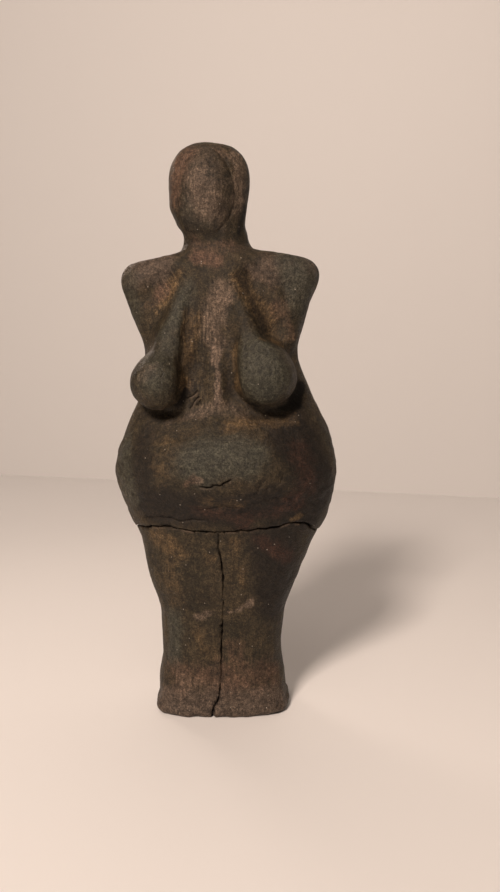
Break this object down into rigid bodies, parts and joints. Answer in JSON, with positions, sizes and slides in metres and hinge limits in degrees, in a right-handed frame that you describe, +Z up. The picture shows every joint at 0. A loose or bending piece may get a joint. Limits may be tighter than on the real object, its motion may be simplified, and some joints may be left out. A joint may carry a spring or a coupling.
{
  "type": "venus figurine",
  "caption": "Standing female figurine of dark fired clay, faceless and armless, with a round belly, wide hips and closed legs on a flat base.",
  "frame": {"origin": "on the flat underside, below the middle of the figure's bounding box", "axes": "+Z up along the figure, -Y towards the viewer it faces, +X to that viewer's right"},
  "size_m": [0.0734, 0.0484, 0.1849],
  "materials": {
    "fired_clay": "smoke-darkened fired clay, hand burnished, satin, with brown and rust-red patches and fine grit"
  },
  "bodies": {
    "root": {"figurine": "fired_clay"}
  },
  "joints": []
}
